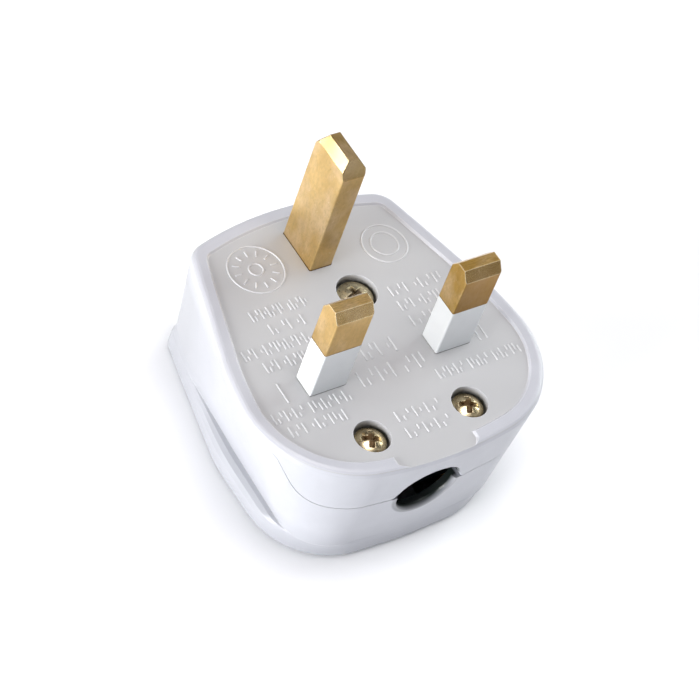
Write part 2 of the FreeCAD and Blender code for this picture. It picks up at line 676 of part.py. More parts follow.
def line_pin():
    """The line pin with the flat shoulder that carries the near fuse clip."""
    x0, x1 = LINE_X - SHOULDER_WIDTH / 2, LINE_X + SHOULDER_WIDTH / 2
    shoulder = block(x0, x1, SHOULDER_FRONT_Y, SHOULDER_REAR, CLIP_TOP, BASE_UNDER)
    rivet_hole = rod(LINE_X, NEAR_RIVET_Y, RIVET_R, CLIP_TOP, BASE_UNDER)
    return sleeved_blade(LINE_X).fuse(shoulder).cut(rivet_hole).removeSplitter()


# Fuse, clips and rivets

def clip_ring(y):
    """The spring part of a fuse clip: an open ring round a fuse cap."""
    y0, y1 = y - CLIP_LENGTH / 2, y + CLIP_LENGTH / 2
    ring = rod_along_y(LINE_X, FUSE_Z, FUSE_R + CLIP_SHEET, y0, y1)
    ring = ring.cut(rod_along_y(LINE_X, FUSE_Z, FUSE_R + THREAD_CLEARANCE, y0, y1))
    half = CLIP_MOUTH / 2
    return ring.cut(block(LINE_X - half, LINE_X + half, y0, y1, -REACH, FUSE_Z))


def clip_foot(x0, x1, y0, y1):
    """Flat sheet at the level of the clips' feet, under the fuse."""
    foot = block(x0, x1, y0, y1, CLIP_TOP - CLIP_SHEET, CLIP_TOP)
    fuse_room = rod_along_y(LINE_X, FUSE_Z, FUSE_R + THREAD_CLEARANCE, -REACH, REACH)
    return foot.cut(fuse_room)


def near_clip():
    """The clip on the line pin's shoulder."""
    half = CLIP_FOOT_WIDTH / 2
    foot = clip_foot(LINE_X - half, LINE_X + half, SHOULDER_FRONT_Y, CLIP_Y[0] + CLIP_LENGTH / 2)
    hole = rod(LINE_X, NEAR_RIVET_Y, RIVET_R, -REACH, REACH)
    return clip_ring(CLIP_Y[0]).fuse(foot).cut(hole).removeSplitter()


def far_clip():
    """The clip on the base's pad, with the strip that leads to the line terminal."""
    half = CLIP_LENGTH / 2
    end_y = CLIP_Y[1] + half
    foot = clip_foot(LINE_X - CLIP_FOOT_WIDTH / 2, STRIP_END_X, CLIP_Y[1] - half, end_y)
    strip_x = LINE_BLOCK_AT_X - LINE_BLOCK_X / 2
    strip = clip_foot(strip_x, STRIP_END_X, LINE_BLOCK_AT_Y - LINE_BLOCK_Y / 2, end_y)
    hole = rod(FAR_RIVET_X, CLIP_Y[1], RIVET_R, -REACH, REACH)
    return clip_ring(CLIP_Y[1]).fuse(foot).fuse(strip).cut(hole).removeSplitter()


def rivet(x, y, top):
    """A rivet headed under the clip sheet, with its shank up through what the clip sits on."""
    sheet_under = CLIP_TOP - CLIP_SHEET
    shank = rod(x, y, RIVET_R, sheet_under, top)
    head = rod(x, y, RIVET_HEAD_R, sheet_under - RIVET_HEAD_THICK, sheet_under)
    head = head.makeChamfer(RIVET_HEAD_THICK / 2, edges_at(head, sheet_under - RIVET_HEAD_THICK))
    return head.fuse(shank)


def fuse_tube():
    """The ceramic tube of the cartridge fuse."""
    y0, y1 = FUSE_START_Y + CAP_END, FUSE_START_Y + FUSE_LENGTH - CAP_END
    r = FUSE_R - CAP_WALL
    tube = rod_along_y(LINE_X, FUSE_Z, r, y0, y1)
    return tube.cut(rod_along_y(LINE_X, FUSE_Z, r - TUBE_WALL, y0, y1))


def fuse_cap(end):
    """A brass end cap; end is -1 for the near one and 1 for the far one."""
    outer = FUSE_MID_Y + end * FUSE_LENGTH / 2
    y0, y1 = sorted((outer, outer - end * CAP_LENGTH))
    cap = rod_along_y(LINE_X, FUSE_Z, FUSE_R, y0, y1)
    b0, b1 = sorted((outer - end * CAP_END, outer - end * 2 * CAP_LENGTH))
    return cap.cut(rod_along_y(LINE_X, FUSE_Z, FUSE_R - CAP_WALL, b0, b1))


def fuse_element():
    """The fine wire that joins the two caps inside the tube."""
    y0, y1 = FUSE_START_Y + CAP_END, FUSE_START_Y + FUSE_LENGTH - CAP_END
    return rod_along_y(LINE_X, FUSE_Z, ELEMENT_R, y0, y1)


# Fasteners and cord grip

def cross_recess(x, y, top, turn):
    """The cross shaped driver recess in a screw's head, whose arms narrow towards its bottom."""
    half, bottom = CROSS_WIDTH / 2, top - CROSS_DEPTH
    sides = ((-CROSS_ARM, top), (-CROSS_TIP, bottom), (CROSS_TIP, bottom), (CROSS_ARM, top))
    one = extruded_along_y([(x + across, z) for across, z in sides], y - half, y + half)
    other = extruded_along_x([(y + across, z) for across, z in sides], x - half, x + half)
    cross = one.fuse(other)
    cross.rotate(FreeCAD.Vector(x, y, 0), UP, turn)
    return cross


def pan_screw(x, y, head_r, shank_r, seat, end, turn):
    """A domed pan head screw, driven from the pin face, with its cross turned by some degrees."""
    top = seat + HEAD_THICK
    rise = HEAD_THICK - HEAD_SIDE
    dome_r = (head_r ** 2 + rise ** 2) / (2 * rise)
    dome = Part.makeSphere(dome_r, FreeCAD.Vector(x, y, top - dome_r))
    head = rod(x, y, head_r, seat, top).common(dome)
    return head.fuse(rod(x, y, shank_r, end, seat)).cut(cross_recess(x, y, top, turn))


def cover_screw():
    """The screw that draws the cover to the base."""
    end = INSERT_TOP - INSERT_LENGTH + SCREW_END_GAP
    x, y = COVER_SCREW_X, COVER_SCREW_Y
    return pan_screw(x, y, COVER_HEAD_R, COVER_SCREW_R, COVER_SEAT, end, COVER_CROSS_TURN)


def tube(x, y, outer_r, inner_r, bottom, top):
    """An upright tube or ring."""
    return rod(x, y, outer_r, bottom, top).cut(rod(x, y, inner_r, bottom, top))


def cover_insert():
    """The threaded brass bush moulded into the cover's boss."""
    bore = COVER_SCREW_R + THREAD_CLEARANCE
    end = INSERT_TOP - INSERT_LENGTH
    return tube(COVER_SCREW_X, COVER_SCREW_Y, INSERT_R, bore, end, INSERT_TOP)


def cover_screw_washer():
    """The fibre washer that keeps the cover screw in the base."""
    bore = COVER_SCREW_R + THREAD_CLEARANCE
    return tube(COVER_SCREW_X, COVER_SCREW_Y, WASHER_R, bore, COVER_JOIN - WASHER_THICK, COVER_JOIN)


def grip_bar():
    """The bar that clamps the cord, with rounded ends and two teeth across the cord."""
    length = GRIP_SCREW_SPACING + BAR_WIDTH + 2 * GRIP_SCREW_R
    end_r = BAR_WIDTH / 2 - THREAD_CLEARANCE
    bar = prism(rectangle(length, BAR_WIDTH, r=end_r, x=CORD_X, y=GRIP_Y), BAR_UNDER, BAR_TOP)
    half = CORD_SPACE / 2
    for side in (-1, 1):
        y = GRIP_Y + side * BAR_WIDTH / 4
        tooth = [(y - BAR_TOOTH, BAR_TOP), (y, BAR_TOP + BAR_TOOTH), (y + BAR_TOOTH, BAR_TOP)]
        bar = bar.fuse(extruded_along_x(tooth, CORD_X - half, CORD_X + half))
    for x in GRIP_X:
        bar = bar.cut(rod(x, GRIP_Y, GRIP_SCREW_R + HOLE_CLEARANCE, -REACH, REACH))
    return bar.removeSplitter()


def grip_nut(x):
    """A hexagonal nut under the bar."""
    corner_r = NUT_FLATS / math.sqrt(3)
    turns = [math.radians(60 * k) for k in range(7)]
    ring = [(x + corner_r * math.cos(t), GRIP_Y + corner_r * math.sin(t)) for t in turns]
    wire = Part.makePolygon([FreeCAD.Vector(px, py, BAR_UNDER - NUT_THICK) for px, py in ring])
    nut = Part.Face(wire).extrude(UP * NUT_THICK)
    return nut.cut(rod(x, GRIP_Y, GRIP_SCREW_R + THREAD_CLEARANCE, -REACH, REACH))


def grip_screw(x):
    """A cord grip screw, through the base, the post and the bar into its nut."""
    end = BAR_UNDER - NUT_THICK - GRIP_SCREW_PROUD
    return pan_screw(x, GRIP_Y, GRIP_HEAD_R, GRIP_SCREW_R, GRIP_SEAT, end, GRIP_CROSS_TURN)


def parts():
    """Every piece of the plug by name."""
    line_terminal_top = CLIP_TOP - CLIP_SHEET
    return {
        "base": base(),
        "cover": cover(),
        "cover_screw": cover_screw(),
        "cover_screw_washer": cover_screw_washer(),
        "cover_insert": cover_insert(),
        "earth_pin": earth_pin(),
        "earth_terminal_screw": terminal_screw(0, EARTH_PIN_Y, EARTH_BLOCK_Z, BASE_UNDER),
        "neutral_pin": neutral_pin(),
        "neutral_pin_sleeve": pin_sleeve(NEUTRAL_X),
        "neutral_terminal_screw": terminal_screw(NEUTRAL_X, 0, NEUTRAL_BLOCK_Z, BASE_UNDER),
        "line_pin": line_pin(),
        "line_pin_sleeve": pin_sleeve(LINE_X),
        "line_pin_clip": near_clip(),
        "line_pin_rivet": rivet(LINE_X, NEAR_RIVET_Y, BASE_UNDER),
        "line_terminal": terminal_block(
            LINE_BLOCK_AT_X, LINE_BLOCK_AT_Y, LINE_BLOCK_X, LINE_BLOCK_Y, LINE_BLOCK_Z, line_terminal_top
        ),
        "line_terminal_clip": far_clip(),
        "line_terminal_rivet": rivet(FAR_RIVET_X, CLIP_Y[1], BASE_UNDER / 2),
        "line_terminal_screw": terminal_screw(
            LINE_BLOCK_AT_X, LINE_BLOCK_AT_Y, LINE_BLOCK_Z, line_terminal_top
        ),
        "fuse_tube": fuse_tube(),
        "fuse_cap_near": fuse_cap(-1),
        "fuse_cap_far": fuse_cap(1),
        "fuse_element": fuse_element(),
        "cord_grip_bar": grip_bar(),
        "cord_grip_screw_left": grip_screw(GRIP_X[0]),
        "cord_grip_screw_right": grip_screw(GRIP_X[1]),
        "cord_grip_nut_left": grip_nut(GRIP_X[0]),
        "cord_grip_nut_right": grip_nut(GRIP_X[1]),
    }


def main():
    """Move every piece to the plug's own frame and write it."""
    box = body_solid().BoundBox
    shift = FreeCAD.Vector(0, -(box.YMin + box.YMax) / 2, BODY_DEPTH)
    os.makedirs("parts", exist_ok=True)
    for name, shape in parts().items():
        solid = shape.Solids[0]
        solid.translate(shift)
        solid.exportStep("parts/" + name + ".step")


main()
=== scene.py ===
import bmesh
import bpy
import json
import math
from mathutils import Matrix, Vector


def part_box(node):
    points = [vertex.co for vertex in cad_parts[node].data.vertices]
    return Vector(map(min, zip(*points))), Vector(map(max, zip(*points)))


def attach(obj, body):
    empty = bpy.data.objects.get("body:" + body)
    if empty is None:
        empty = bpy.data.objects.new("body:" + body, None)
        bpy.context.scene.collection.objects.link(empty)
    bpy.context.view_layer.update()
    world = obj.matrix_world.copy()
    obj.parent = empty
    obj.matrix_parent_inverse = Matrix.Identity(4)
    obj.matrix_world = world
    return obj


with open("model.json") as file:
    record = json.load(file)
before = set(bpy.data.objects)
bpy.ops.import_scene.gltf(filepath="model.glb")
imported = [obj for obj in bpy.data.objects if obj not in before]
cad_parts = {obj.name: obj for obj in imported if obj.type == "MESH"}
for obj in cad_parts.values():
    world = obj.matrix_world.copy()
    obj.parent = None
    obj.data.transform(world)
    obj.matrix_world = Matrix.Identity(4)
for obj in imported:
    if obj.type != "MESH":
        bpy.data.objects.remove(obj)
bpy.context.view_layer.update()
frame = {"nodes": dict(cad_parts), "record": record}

# Places taken from the frame

MM = 0.001
RIM_RISE = 0.35 * MM
SCREWS = ("cover_screw", "cord_grip_screw_left", "cord_grip_screw_right")
line_low, line_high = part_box("line_pin_sleeve")
pins_y = (line_low.y + line_high.y) / 2
panel_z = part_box("base")[1].z - RIM_RISE
mounts = {mount["name"]: mount for mount in frame["record"]["mounts"]}
entry = Vector(mounts["cord_entry"]["pos_m"])


def face_point(x_mm, y_mm, above_mm=0.0):
    """A point given in millimetres from midway between the line and neutral pins, on the panel."""
    return Vector((x_mm * MM, pins_y + y_mm * MM, panel_z + above_mm * MM))


def screw_head(node):
    """The middle of a screw's box, the radius of its head and the height of its top."""
    low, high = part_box(node)
    return (low + high) / 2, (high.x - low.x) / 2, high.z


# Camera, lights and floor

CAMERA_PLACE = (-0.205496, -0.181037, 0.327778)
CAMERA_RIGHT = (0.82390, -0.51019, 0.24676)
CAMERA_UP = (0.27399, 0.73973, 0.61460)
CAMERA_BACK = (-0.49610, -0.43876, 0.74925)
CAMERA_LENS = 143.97
CAMERA_SENSOR = 36
CAMERA_NEAR = 0.01
CAMERA_FAR = 10
LIGHT_SIZE = 0.45
LIGHTS = (
    # name, place, size, power and colour
    ("left_light", (-0.75, -0.07, 0.10), LIGHT_SIZE, 10.4, (0.99, 1.0, 0.99)),
    ("left_back_light", (-0.68, 0.34, 0.20), 0.08, 0.76, (1.0, 1.0, 1.0)),
    ("top_light", (0.0, 0.0, 0.80), LIGHT_SIZE, 4.6, (1.0, 0.97, 1.0)),
    ("right_light", (0.75, 0.10, 0.30), LIGHT_SIZE, 4.6, (0.94, 1.0, 1.0)),
    ("right_front_light", (0.55, -0.55, 0.50), LIGHT_SIZE, 0.6, (1.0, 1.0, 0.97)),
    ("front_light", (0.40, -0.68, 0.16), 0.16, 0.05, (1.0, 0.98, 0.95)),
    ("front_left_light", (-0.45, -0.60, 0.30), LIGHT_SIZE, 0.3, (0.3, 0.6, 1.0)),
)
LIGHT_TARGET = Vector((0, 0, 0.02))
SURROUND_COLOUR = (0.90, 0.92, 1.0, 1.0)
SURROUND_STRENGTH = 0.04
FLOOR_SIZE = 3.0
FLOOR_COLOUR = (0.93, 0.93, 0.94)
FLOOR_ROUGHNESS = 0.8
FLOOR_GLOW = 0.03
FLOOR_GLOW_COLOUR = (1.0, 1.0, 1.0)


def make_camera():
    """The camera that took the photograph, found from the pins' standard sizes."""
    data = bpy.data.cameras.new("camera")
    data.lens = CAMERA_LENS
    data.sensor_width = CAMERA_SENSOR
    data.clip_start = CAMERA_NEAR
    data.clip_end = CAMERA_FAR
    camera = bpy.data.objects.new("camera", data)
    bpy.context.scene.collection.objects.link(camera)
    turn = Matrix((CAMERA_RIGHT, CAMERA_UP, CAMERA_BACK)).transposed()
    camera.matrix_world = Matrix.Translation(CAMERA_PLACE) @ turn.to_4x4()
    bpy.context.scene.camera = camera


def make_area_light(name, place, size, power, colour):
    """A soft square light that faces the plug."""
    data = bpy.data.lights.new(name, "AREA")
    data.shape = "SQUARE"
    data.size = size
    data.energy = power
    data.color = colour
    light = bpy.data.objects.new(name, data)
    bpy.context.scene.collection.objects.link(light)
    light.location = place
    light.rotation_mode = "QUATERNION"
    light.rotation_quaternion = (LIGHT_TARGET - Vector(place)).to_track_quat("-Z", "Y")


def make_lights():
    """A strong low light from the left, softer ones from above and the right, and weak ones between."""
    for light in LIGHTS:
        make_area_light(*light)
    world = bpy.data.worlds.new("surround")
    world.use_nodes = True
    background = world.node_tree.nodes["Background"]
    background.inputs["Color"].default_value = SURROUND_COLOUR
    background.inputs["Strength"].default_value = SURROUND_STRENGTH
    bpy.context.scene.world = world
    bpy.context.scene.view_settings.view_transform = "Standard"


def make_floor():
    """The plain white floor, which glows faintly so that it stays white in the plug's shade."""
    mesh = bpy.data.meshes.new("floor")
    half = FLOOR_SIZE / 2
    corners = [(-half, -half, 0), (half, -half, 0), (half, half, 0), (-half, half, 0)]
    mesh.from_pydata(corners, [], [(0, 1, 2, 3)])
    floor = bpy.data.objects.new("floor", mesh)
    bpy.context.scene.collection.objects.link(floor)
    paint = Paint("floor_white")
    paint.set("Base Color", FLOOR_COLOUR)
    paint.set("Roughness", FLOOR_ROUGHNESS)
    paint.set("Emission Color", FLOOR_GLOW_COLOUR)
    paint.set("Emission Strength", FLOOR_GLOW)
    mesh.materials.append(paint.material)


# Materials

BEVEL_SAMPLES = 6
NOISE_MIDDLE = 0.5
PATCH_SPREAD = 0.15
GRAIN_SPREAD = 0.2


def shade(colour, factor):
    """A darker version of a colour."""
    return tuple(c * factor for c in colour)


class Paint:
    """A node material with one surface shader, and short ways to feed it."""

    def __init__(self, name):
        self.material = bpy.data.materials.new(name)
        self.material.use_nodes = True
        self.tree = self.material.node_tree
        self.tree.nodes.clear()
        self.shader = self.node("ShaderNodeBsdfPrincipled")
        output = self.node("ShaderNodeOutputMaterial")
        self.feed(output.inputs["Surface"], self.shader.outputs["BSDF"])
        self.place = self.node("ShaderNodeTexCoord").outputs["Object"]
        split = self.node("ShaderNodeSeparateXYZ")
        self.feed(split.inputs["Vector"], self.place)
        self.x, self.y, self.z = split.outputs
        self.normal = self.node("ShaderNodeNewGeometry").outputs["Normal"]

    def node(self, kind, **settings):
        """A new node, with the settings given."""
        made = self.tree.nodes.new(kind)
        for name, value in settings.items():
            setattr(made, name, value)
        return made

    def feed(self, socket, value):
        """Gives a socket a constant, or the output of another node."""
        if isinstance(value, bpy.types.NodeSocket):
            self.tree.links.new(value, socket)
        elif socket.type == "RGBA":
            socket.default_value = (*value, 1)
        else:
            socket.default_value = value

    def set(self, socket, value):
        """Sets one of the shader's own sockets."""
        self.feed(self.shader.inputs[socket], value)

    def levels(self, source, from_low, from_high, low=0.0, high=1.0):
        """A number spread from one range to another, and held at its ends."""
        made = self.node("ShaderNodeMapRange")
        for name, value in (
            ("From Min", from_low), ("From Max", from_high), ("To Min", low), ("To Max", high)
        ):
            made.inputs[name].default_value = value
        self.feed(made.inputs["Value"], source)
        return made.outputs["Result"]

    def mix(self, factor, a, b):
        """Colour a where the factor is 0, colour b where it is 1."""
        made = self.node("ShaderNodeMix", data_type="RGBA")
        self.feed(made.inputs["Factor"], factor)
        first, second = [s for s in made.inputs if s.type == "RGBA"]
        self.feed(first, a)
        self.feed(second, b)
        return [s for s in made.outputs if s.type == "RGBA"][0]

    def maths(self, operation, a, b):
        """Two numbers combined by one of Blender's math operations."""
        made = self.node("ShaderNodeMath", operation=operation)
        self.feed(made.inputs[0], a)
        self.feed(made.inputs[1], b)
        return made.outputs["Value"]

    def times(self, *factors):
        """The product of several masks."""
        result = factors[0]
        for factor in factors[1:]:
            result = self.maths("MULTIPLY", result, factor)
        return result

    def noise(self, size_mm, detail, stretch=(1, 1, 1)):
        """Noise with features of about this size; stretch lengthens them along an axis."""
        mapping = self.node("ShaderNodeMapping")
        mapping.inputs["Scale"].default_value = [1 / (size_mm * MM * s) for s in stretch]
        self.feed(mapping.inputs["Vector"], self.place)
        made = self.node("ShaderNodeTexNoise")
        made.inputs["Scale"].default_value = 1.0
        made.inputs["Detail"].default_value = detail
        self.feed(made.inputs["Vector"], mapping.outputs["Vector"])
        return made.outputs["Fac"]

    def contrast(self, noise, spread, low=0.0, high=1.0):
        """Noise spread from low to high; a smaller spread of its own values gives sharper edges."""
        return self.levels(noise, NOISE_MIDDLE - spread, NOISE_MIDDLE + spread, low, high)

    def patches(self, size_mm, detail, spread=PATCH_SPREAD, stretch=(1, 1, 1)):
        """Patches of noise from 0 to 1."""
        return self.contrast(self.noise(size_mm, detail, stretch), spread)

    def spots(self, size_mm, detail, start, full, strength=1.0, stretch=(1, 1, 1)):
        """Spots where the noise passes start, at their whole strength from full on."""
        return self.levels(self.noise(size_mm, detail, stretch), start, full, 0.0, strength)

    def uneven(self, grain, value, down, up):
        """A value that a grain moves down and up by these amounts."""
        return self.contrast(grain, GRAIN_SPREAD, value - down, value + up)

    def bevel(self, round_mm):
        """The surface normal, turned smoothly across edges as if they were rounded."""
        made = self.node("ShaderNodeBevel", samples=BEVEL_SAMPLES)
        made.inputs["Radius"].default_value = round_mm * MM
        return made.outputs["Normal"]

    def bump(self, height, depth_mm, strength, round_mm):
        """Relief from a height, over edges that are rounded by the given radius."""
        made = self.node("ShaderNodeBump")
        made.inputs["Strength"].default_value = strength
        made.inputs["Distance"].default_value = depth_mm * MM
        self.feed(made.inputs["Height"], height)
        self.feed(made.inputs["Normal"], self.bevel(round_mm))
        self.set("Normal", made.outputs["Normal"])

    def edge_mask(self, round_mm, start=0.005, full=0.05):
        """1 along the edges and 0 on the faces, by how far a rounded edge would turn the normal."""
        dot = self.node("ShaderNodeVectorMath", operation="DOT_PRODUCT")
        self.feed(dot.inputs[0], self.bevel(round_mm))
        self.feed(dot.inputs[1], self.normal)
        return self.levels(dot.outputs["Value"], 1.0 - start, 1.0 - full)

    def facing(self):
        """How far the surface faces along x, y and z, each from -1 to 1."""
        split = self.node("ShaderNodeSeparateXYZ")
        self.feed(split.inputs["Vector"], self.normal)
        return split.outputs

    def around(self, centre, inner, outer, across="XY"):
        """1 within the inner radius of an axis, 0 beyond the outer one; across is the plane it crosses."""
        flat = self.node("ShaderNodeCombineXYZ")
        middle = [0, 0, 0]
        for k, (name, distance) in enumerate(zip("XYZ", (self.x, self.y, self.z))):
            if name in across:
                self.feed(flat.inputs[name], distance)
                middle[k] = centre[k]
        far = self.node("ShaderNodeVectorMath", operation="DISTANCE")
        self.feed(far.inputs[0], flat.outputs["Vector"])
        self.feed(far.inputs[1], middle)
        return self.levels(far.outputs["Value"], inner, outer, 1.0, 0.0)

    def below(self, high, low):
        """0 above the first height, 1 under the second, and between them a slope."""
        return self.levels(self.z, low, high, 1.0, 0.0)


# White plastic

BODY_COLOUR = (0.53, 0.535, 0.575)
BODY_ROUGHNESS = 0.32
PANEL_COLOUR = (0.475, 0.475, 0.48)
PANEL_EXTRA_ROUGHNESS = 0.16
PANEL_SKIN = 0.05 * MM          # how far from the panel's height its colour reaches
PANEL_SKIN_SLOPE = 0.01 * MM
EDGE_PAINTED_HIGHLIGHT = (0.70, 0.70, 0.73)
EDGE_HIGHLIGHT_STRENGTH = 0.6
FOOT_PAINTED_SHADE = (0.40, 0.405, 0.44)
FOOT_HEIGHT = 8.0 * MM
BACK_PAINTED_SHADE = (0.40, 0.405, 0.43)
BACK_FROM_Y = 3 * MM
BACK_TO_Y = 16 * MM
BACK_TOP = 1.0 * MM             # how far below the panel the walls' shade begins
BACK_FULL = 5.0 * MM
GRIME_AND_SHADE = (0.10, 0.095, 0.06)
HOLE_GAP = 0.5 * MM             # from a screw's head to just past the wall of its hole
HOLE_GAP_SLOPE = 0.1 * MM
HOLE_DARK_FROM = 0.2 * MM
HOLE_DARK_TO = 1.5 * MM
ENTRY_PAINTED_SHADE = (0.012, 0.018, 0.016)
ENTRY_R = 5.6 * MM
ENTRY_R_SLOPE = 0.3 * MM
ENTRY_DARK_FROM = 0.05 * MM     # how far inside the wall the entry begins to darken
ENTRY_DARK_TO = 1.05 * MM
ENTRY_DEPTH = 6.0 * MM
ENTRY_DEPTH_SLOPE = 1.0 * MM
PLASTIC_SHADE = 0.97
PLASTIC_IOR = 1.5
SLEEVE_COLOUR = (0.77, 0.78, 0.79)
SLEEVE_ROUGHNESS = 0.4
SLEEVE_FOOT_SHADE = 0.6
SLEEVE_SHADE_FROM = 0.16 * MM   # heights above the panel
SLEEVE_SHADE_TO = 0.06 * MM


def moulded_plastic(name, colour, roughness, round_mm):
    """White moulded plastic: faint mottling, a slight ripple and softened edges."""
    paint = Paint(name)
    mottling = paint.patches(size_mm=3.0, detail=4.0)
    tint = paint.mix(mottling, shade(colour, PLASTIC_SHADE), colour)
    ripple = paint.noise(size_mm=0.12, detail=2.0)
    paint.set("IOR", PLASTIC_IOR)
    paint.bump(ripple, depth_mm=0.004, strength=0.5, round_mm=round_mm)
    return paint, tint, paint.uneven(ripple, roughness, down=0.04, up=0.05)


def panel_mask(paint):
    """1 on the recessed panel, by its height."""
    under_rim = paint.below(panel_z + PANEL_SKIN + PANEL_SKIN_SLOPE, panel_z + PANEL_SKIN)
    under_panel = paint.below(panel_z - PANEL_SKIN, panel_z - PANEL_SKIN - PANEL_SKIN_SLOPE)
    return paint.maths("SUBTRACT", under_rim, under_panel)


def back_shade_mask(paint):
    """1 on the walls at the back of the plug, where painted shade darkens them."""
    return paint.times(
        paint.levels(paint.y, BACK_FROM_Y, BACK_TO_Y),
        paint.below(panel_z - BACK_TOP, panel_z - BACK_FULL),
    )


def hole_mask(paint, screw):
    """1 deep in the hole of a screw."""
    centre, radius, _ = screw_head(screw)
    return paint.times(
        paint.around(centre, radius + HOLE_GAP, radius + HOLE_GAP + HOLE_GAP_SLOPE),
        paint.below(panel_z - HOLE_DARK_FROM, panel_z - HOLE_DARK_TO),
    )


def entry_shade_mask(paint):
    """1 inside the cord entry, past its rounded lip, where its inside is painted dark as shade."""
    deep = entry.y + ENTRY_DEPTH
    return paint.times(
        paint.around(entry, ENTRY_R, ENTRY_R + ENTRY_R_SLOPE, across="XZ"),
        paint.levels(paint.y, entry.y + ENTRY_DARK_FROM, entry.y + ENTRY_DARK_TO),
        paint.levels(paint.y, deep, deep + ENTRY_DEPTH_SLOPE, 1.0, 0.0),
    )


def body_plastic(name):
    """The body: a matt panel inside a glossier rim, with painted shade on the back walls, towards the foot
    and inside the cord entry, edges lightened as painted highlight, and screw holes darkened by grime and
    painted shade.
    """
    paint, tint, rough = moulded_plastic(name, BODY_COLOUR, BODY_ROUGHNESS, round_mm=0.12)
    panel = panel_mask(paint)
    # Painted shade: the back walls are darker.
    tint = paint.mix(back_shade_mask(paint), tint, BACK_PAINTED_SHADE)
    tint = paint.mix(panel, tint, PANEL_COLOUR)
    # Painted shade: the walls are darker towards the foot.
    tint = paint.mix(paint.below(FOOT_HEIGHT, 0.0), tint, FOOT_PAINTED_SHADE)
    # Painted highlight: edges lighter, as if catching light.
    tint = paint.mix(paint.times(paint.edge_mask(round_mm=0.22), EDGE_HIGHLIGHT_STRENGTH), tint, EDGE_PAINTED_HIGHLIGHT)
    # Screw holes darkened deep down: grime in blots and painted shade in the recess.
    blots = paint.levels(paint.noise(size_mm=0.7, detail=4.0), from_low=0.3, from_high=0.6, low=0.55)
    for screw in SCREWS:
        tint = paint.mix(paint.times(hole_mask(paint, screw), blots), tint, GRIME_AND_SHADE)
    # Painted shade: the inside of the cord entry is painted dark.
    tint = paint.mix(entry_shade_mask(paint), tint, ENTRY_PAINTED_SHADE)
    paint.set("Base Color", tint)
    paint.set("Roughness", paint.maths("ADD", rough, paint.times(panel, PANEL_EXTRA_ROUGHNESS)))
    return paint.material


def plain_plastic(name, colour, roughness, foot_shade=0.0):
    """A moulded piece of one colour, with painted shade where it leaves the panel."""
    paint, tint, rough = moulded_plastic(name, colour, roughness, round_mm=0.15)
    if foot_shade:
        # Painted shade where the piece leaves the panel.
        foot = paint.below(panel_z + SLEEVE_SHADE_FROM, panel_z + SLEEVE_SHADE_TO)
        tint = paint.mix(paint.times(foot, foot_shade), tint, GRIME_AND_SHADE)
    paint.set("Base Color", tint)
    paint.set("Roughness", rough)
    return paint.material


# Brass

WEAR_AND_HIGHLIGHT_BRASS = (0.95, 0.80, 0.52)
PALE_BRASS = (0.93, 0.74, 0.50)
DARK_RIM = (0.34, 0.24, 0.10)
BRASS_STAIN_AND_SHADE = (0.22, 0.11, 0.025)
TARNISH = (0.80, 0.76, 0.68)    # what tarnish leaves of red, green and blue
SPECKLE_SHADE = 0.6
FACES_FRONT = (-0.6, -0.9)      # from where to where the normal's y counts as facing the front
FACES_UP = (0.93, 0.97)
FACES_SLOPED = (0.2, 0.3)
TIP_STREAK_DARKENING = (0.05, 0.5)      # the least and the most darkening on a tip
CHAMFER_WEAR_AND_HIGHLIGHT = 0.15
CHAMFER_POLISH = 0.2
EDGE_RIM_TINT = 0.85
EDGE_POLISH = 0.15
EDGE_METAL = 0.5
PIN_FOOT_SHADE = 0.8
PIN_FOOT_SHADE_FROM = 0.24 * MM     # heights above the pin's foot
PIN_FOOT_SHADE_TO = 0.12 * MM


def tarnished(paint, light):
    """The colour of old brass: clouds of tarnish, pale patches, speckle, scratches and painted glints."""
    dark = tuple(c * left for c, left in zip(light, TARNISH))
    bloom = paint.patches(2.6, detail=3.0, spread=0.2, stretch=(1, 1, 1.6))
    tint = paint.mix(bloom, dark, light)
    pale = paint.spots(4.0, detail=2.0, start=0.45, full=0.7, strength=0.45, stretch=(1, 1, 1.4))
    tint = paint.mix(pale, tint, PALE_BRASS)
    speckle = paint.spots(0.45, detail=4.0, start=0.45, full=0.75, strength=0.35, stretch=(1, 1, 1.5))
    tint = paint.mix(speckle, tint, shade(light, SPECKLE_SHADE))
    scratches = paint.spots(0.10, detail=2.0, start=0.62, full=0.74, strength=0.4, stretch=(1, 1, 9))
    tint = paint.mix(scratches, tint, BRASS_STAIN_AND_SHADE)
    # Painted glints: small lighter spots.
    painted_glints = paint.spots(0.30, detail=3.0, start=0.66, full=0.74, strength=0.4, stretch=(1, 1, 1.8))
    return paint.mix(painted_glints, tint, WEAR_AND_HIGHLIGHT_BRASS)


